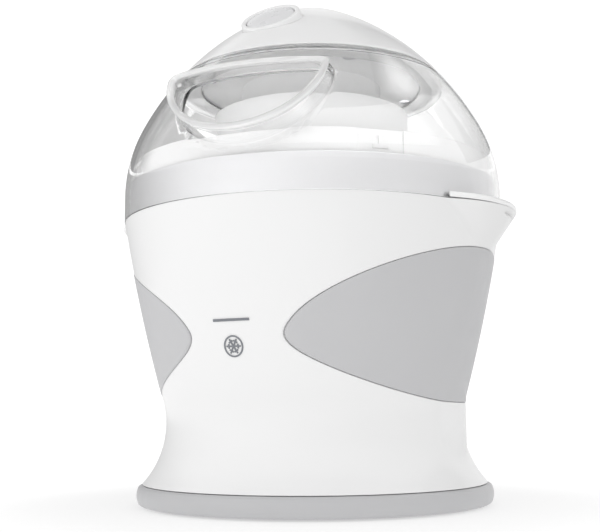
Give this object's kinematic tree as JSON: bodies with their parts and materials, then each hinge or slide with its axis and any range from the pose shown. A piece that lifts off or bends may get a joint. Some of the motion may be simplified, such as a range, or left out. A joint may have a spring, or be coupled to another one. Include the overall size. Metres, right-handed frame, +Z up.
{
  "type": "ice cream maker",
  "caption": "Domed counter-top ice cream maker: waisted white body, lift-out freezer bowl with paddle, clear chute lid and motor cap with an oval button.",
  "frame": {"origin": "on the rest plane under the axis of the bowl and dome, which is the middle of the bounding box's underside within 2 mm", "axes": "+Z up along the bowl axis, -Y to the front (badge and switch), +X to the right hand of someone facing the front"},
  "size_m": [0.22, 0.2234, 0.2669],
  "materials": {
    "white_shell": "satin gloss",
    "soft_grey": "fine matte",
    "base_grey": "matte",
    "dark_grey": "matte",
    "foot_rubber": "matte",
    "screw_steel": "zinc plated",
    "inner_plastic": "satin",
    "print_grey": "printed",
    "bowl_white": "satin",
    "liner_metal": "spun",
    "gel_blue": "gel",
    "seal_silicone": "matte",
    "paddle_plastic": "satin",
    "clear_plastic": "clear polished",
    "silver_trim": "brushed silver",
    "housing_grey": "satin",
    "bronze": "sintered bronze",
    "motor_steel": "zinc plated",
    "copper_wire": "enamelled copper",
    "magnet": "ferrite",
    "gear_brass": "machined",
    "gear_nylon": "moulded",
    "board_green": "solder mask",
    "part_black": "moulded",
    "button_grey": "satin",
    "cord_black": "matte"
  },
  "bodies": {
    "body": {"body_shell": "white_shell", "base_ring": "base_grey", "base_plate": "dark_grey", "feet": "foot_rubber", "base_screws": "screw_steel", "left_grip": "soft_grey", "right_grip": "soft_grey", "bowl_well": "inner_plastic", "front_badge": "print_grey"},
    "bowl": {"bowl_outer": "bowl_white", "bowl_liner": "liner_metal", "bowl_rim": "bowl_white", "coolant": "gel_blue", "bowl_seal": "seal_silicone", "fill_plug": "part_black"},
    "paddle": {"paddle": "paddle_plastic"},
    "lid": {"lid_dome": "clear_plastic", "silver_band": "silver_trim"},
    "power_unit": {"cap": "white_shell", "lower_housing": "housing_grey", "gearbox_cover": "housing_grey", "power_screws": "screw_steel", "gear_plate": "motor_steel", "bushes": "bronze", "gear_axle": "screw_steel", "motor_can": "motor_steel", "motor_coil": "copper_wire", "circuit_board": "board_green", "board_posts": "inner_plastic", "board_parts": "part_black", "switch_bezel": "white_shell", "switch_body": "part_black", "cord_gland": "cord_black"},
    "rotor": {"motor_rotor": "magnet", "rotor_shaft": "screw_steel", "motor_pinion": "gear_brass"},
    "idler": {"idler_gear": "gear_nylon"},
    "output": {"output_gear": "gear_nylon", "output_shaft": "screw_steel"},
    "button": {"switch_button": "button_grey"}
  },
  "joints": [
    {"name": "bowl_lift", "type": "slide", "parent": "body", "child": "bowl", "axis": [0, 0, 1], "range_m": [0, 0.13]},
    {"name": "lid_lift", "type": "slide", "parent": "bowl", "child": "lid", "axis": [0, 0, 1], "range_m": [0, 0.11]},
    {"name": "power_lift", "type": "slide", "parent": "lid", "child": "power_unit", "axis": [0, 0, 1], "range_m": [0, 0.09]},
    {"name": "paddle_spin", "type": "hinge", "parent": "bowl", "child": "paddle", "pos_m": [0, 0, 0.07], "axis": [0, 0, 1], "continuous": true},
    {"name": "output_spin", "type": "hinge", "parent": "power_unit", "child": "output", "pos_m": [0, 0, 0.185], "axis": [0, 0, 1], "continuous": true},
    {"name": "idler_spin", "type": "hinge", "parent": "power_unit", "child": "idler", "pos_m": [0.0231, 0, 0.19], "axis": [0, 0, 1], "continuous": true},
    {"name": "rotor_spin", "type": "hinge", "parent": "power_unit", "child": "rotor", "pos_m": [0.00673, 0.00945, 0.21], "axis": [0, 0, 1], "continuous": true},
    {"name": "button_press", "type": "slide", "parent": "power_unit", "child": "button", "axis": [0, 0.7092, -0.705], "range_m": [0, 0.002], "stiffness_N_per_m": 600, "springref_m": -0.001}
  ],
  "couplings": [
    {"joint": "output_spin", "follows": "paddle_spin", "ratio": 1},
    {"joint": "idler_spin", "follows": "paddle_spin", "ratio": -4.5},
    {"joint": "rotor_spin", "follows": "paddle_spin", "ratio": 19.8}
  ]
}
